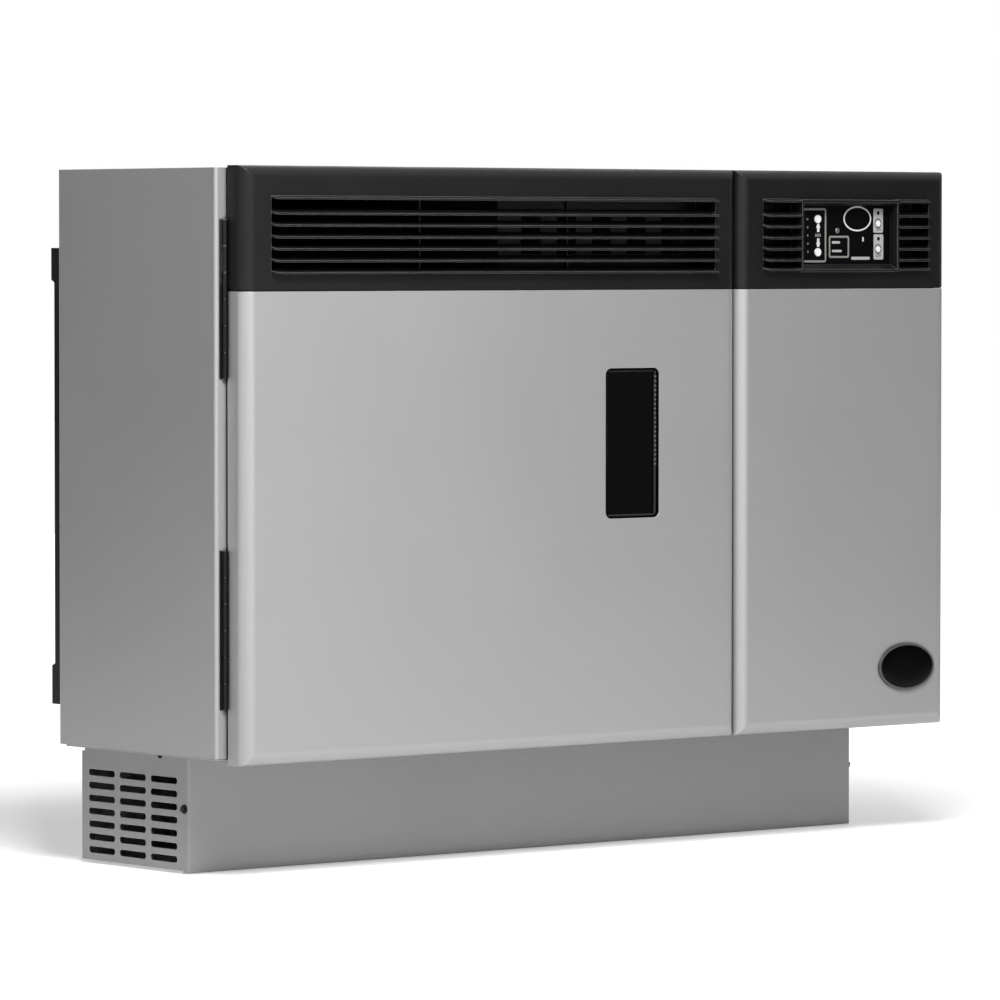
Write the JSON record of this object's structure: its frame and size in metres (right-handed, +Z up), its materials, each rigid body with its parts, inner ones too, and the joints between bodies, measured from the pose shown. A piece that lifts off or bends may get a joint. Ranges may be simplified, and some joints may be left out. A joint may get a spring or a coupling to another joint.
{
  "type": "wall-mounted pellet stove",
  "caption": "Slim wide wall-mounted pellet stove with a hinged glazed door, louvred grilles, a hopper lid, an ash pan and wall brackets.",
  "frame": {"origin": "centre of the wall-screw rectangle, in the plane of the wall", "axes": "+X along the case to the right as seen from the room, +Y into the wall, +Z up"},
  "size_m": [0.94, 0.3158, 0.6864],
  "materials": {
    "grey_shell": "light metallic grey powder coat",
    "black_cover": "satin black powder coat",
    "heat_black": "matt heat-resistant black paint",
    "zinc_sheet": "galvanised sheet steel",
    "cast_pot": "as-cast iron, sooted",
    "bright_steel": "plain turned and cut steel",
    "motor_steel": "black painted motor frames",
    "window_glass": "dark tinted heat glass",
    "inner_glass": "clear glass-ceramic",
    "rope_seal": "braided glass-fibre rope, grey",
    "sponge_seal": "black sponge rubber",
    "panel_black": "printed satin polyester keypad",
    "button_grey": "moulded grey keys",
    "board_green": "solder-masked glass-fibre board",
    "badge_metal": "satin anodised",
    "inlet_plastic": "moulded black nylon"
  },
  "bodies": {
    "stove": {"ash_housing": "heat_black", "auger_motor": "motor_steel", "auger_tube": "heat_black", "back_panel": "zinc_sheet", "badge_plate": "badge_metal", "baffle": "heat_black", "base_floor": "zinc_sheet", "base_shroud": "grey_shell", "blower_housing": "zinc_sheet", "blower_motor": "motor_steel", "bottom_panel": "grey_shell", "bulkhead": "zinc_sheet", "burn_pot": "cast_pot", "control_board": "board_green", "control_panel": "panel_black", "door_magnet": "bright_steel", "exhaust_housing": "zinc_sheet", "exhaust_motor": "motor_steel", "feed_chute": "heat_black", "firebox": "heat_black", "fixed_frame": "black_cover", "fixed_grille": "black_cover", "fixed_panel": "grey_shell", "flue_outlet": "zinc_sheet", "front_frame": "black_cover", "heat_ducts": "heat_black", "hinge_case_leaves": "black_cover", "hinge_pins": "bright_steel", "hopper": "zinc_sheet", "igniter": "bright_steel", "intake_pipe": "zinc_sheet", "left_side_panel": "grey_shell", "left_wall_bracket": "black_cover", "lid_hinge": "black_cover", "pot_cradle": "heat_black", "power_inlet": "inlet_plastic", "right_side_panel": "grey_shell", "right_wall_bracket": "black_cover", "top_panel": "black_cover"},
    "front_door": {"door_frame": "black_cover", "door_panel": "grey_shell", "door_grille": "black_cover", "window_trim": "black_cover", "window_glass": "window_glass", "hinge_door_leaves": "black_cover"},
    "firebox_door": {"firebox_door": "heat_black", "firebox_glass": "inner_glass", "glass_retainer": "bright_steel", "firebox_seal": "rope_seal"},
    "firebox_latch": {"door_latch": "bright_steel"},
    "ash_pan": {"ash_pan": "heat_black"},
    "hopper_lid": {"hopper_lid": "grey_shell", "lid_gasket": "sponge_seal"},
    "auger": {"auger_screw": "bright_steel"},
    "blower_wheel": {"blower_wheel": "zinc_sheet"},
    "exhaust_impeller": {"exhaust_impeller": "bright_steel"},
    "heat_up": {"heat_up_button": "button_grey"},
    "heat_down": {"heat_down_button": "button_grey"},
    "switch_on": {"on_button": "button_grey"},
    "switch_off": {"off_button": "button_grey"}
  },
  "joints": [
    {"name": "front_door_hinge", "type": "hinge", "parent": "stove", "child": "front_door", "pos_m": [-0.4608, -0.2822, 0.0167], "axis": [0, 0, -1], "range_deg": [0, 105]},
    {"name": "firebox_door_hinge", "type": "hinge", "parent": "stove", "child": "firebox_door", "pos_m": [-0.0891, -0.2735, 0.03625], "axis": [0, 0, -1], "range_deg": [0, 95]},
    {"name": "firebox_latch_pivot", "type": "hinge", "parent": "firebox_door", "child": "firebox_latch", "pos_m": [0.1439, -0.2735, 0.04025], "axis": [0, -1, 0], "range_deg": [0, 90]},
    {"name": "ash_pan_slide", "type": "slide", "parent": "stove", "child": "ash_pan", "axis": [0, -1, 0], "range_m": [0, 0.2]},
    {"name": "hopper_lid_hinge", "type": "hinge", "parent": "stove", "child": "hopper_lid", "pos_m": [0.31425, -0.0475, 0.30265], "axis": [-1, 0, 0], "range_deg": [0, 95]},
    {"name": "auger_spin", "type": "hinge", "parent": "stove", "child": "auger", "pos_m": [0.1529, -0.2015, 0.02725], "axis": [0.788, 0, -0.6157], "continuous": true},
    {"name": "blower_wheel_spin", "type": "hinge", "parent": "stove", "child": "blower_wheel", "pos_m": [-0.285, -0.1515, -0.17475], "axis": [1, 0, 0], "continuous": true},
    {"name": "exhaust_impeller_spin", "type": "hinge", "parent": "stove", "child": "exhaust_impeller", "pos_m": [0.2105, -0.1015, -0.07475], "axis": [1, 0, 0], "continuous": true},
    {"name": "heat_up_press", "type": "slide", "parent": "stove", "child": "heat_up", "axis": [0, 1, 0], "range_m": [0, 0.0007], "stiffness_N_per_m": 500},
    {"name": "heat_down_press", "type": "slide", "parent": "stove", "child": "heat_down", "axis": [0, 1, 0], "range_m": [0, 0.0007], "stiffness_N_per_m": 500},
    {"name": "switch_on_press", "type": "slide", "parent": "stove", "child": "switch_on", "axis": [0, 1, 0], "range_m": [0, 0.0007], "stiffness_N_per_m": 500},
    {"name": "switch_off_press", "type": "slide", "parent": "stove", "child": "switch_off", "axis": [0, 1, 0], "range_m": [0, 0.0007], "stiffness_N_per_m": 500}
  ],
  "couplings": [
    {"joint": "firebox_door_hinge", "follows": "front_door_hinge", "ratio": 0.9},
    {"joint": "ash_pan_slide", "follows": "front_door_hinge", "m_per_rad": 0.109}
  ]
}
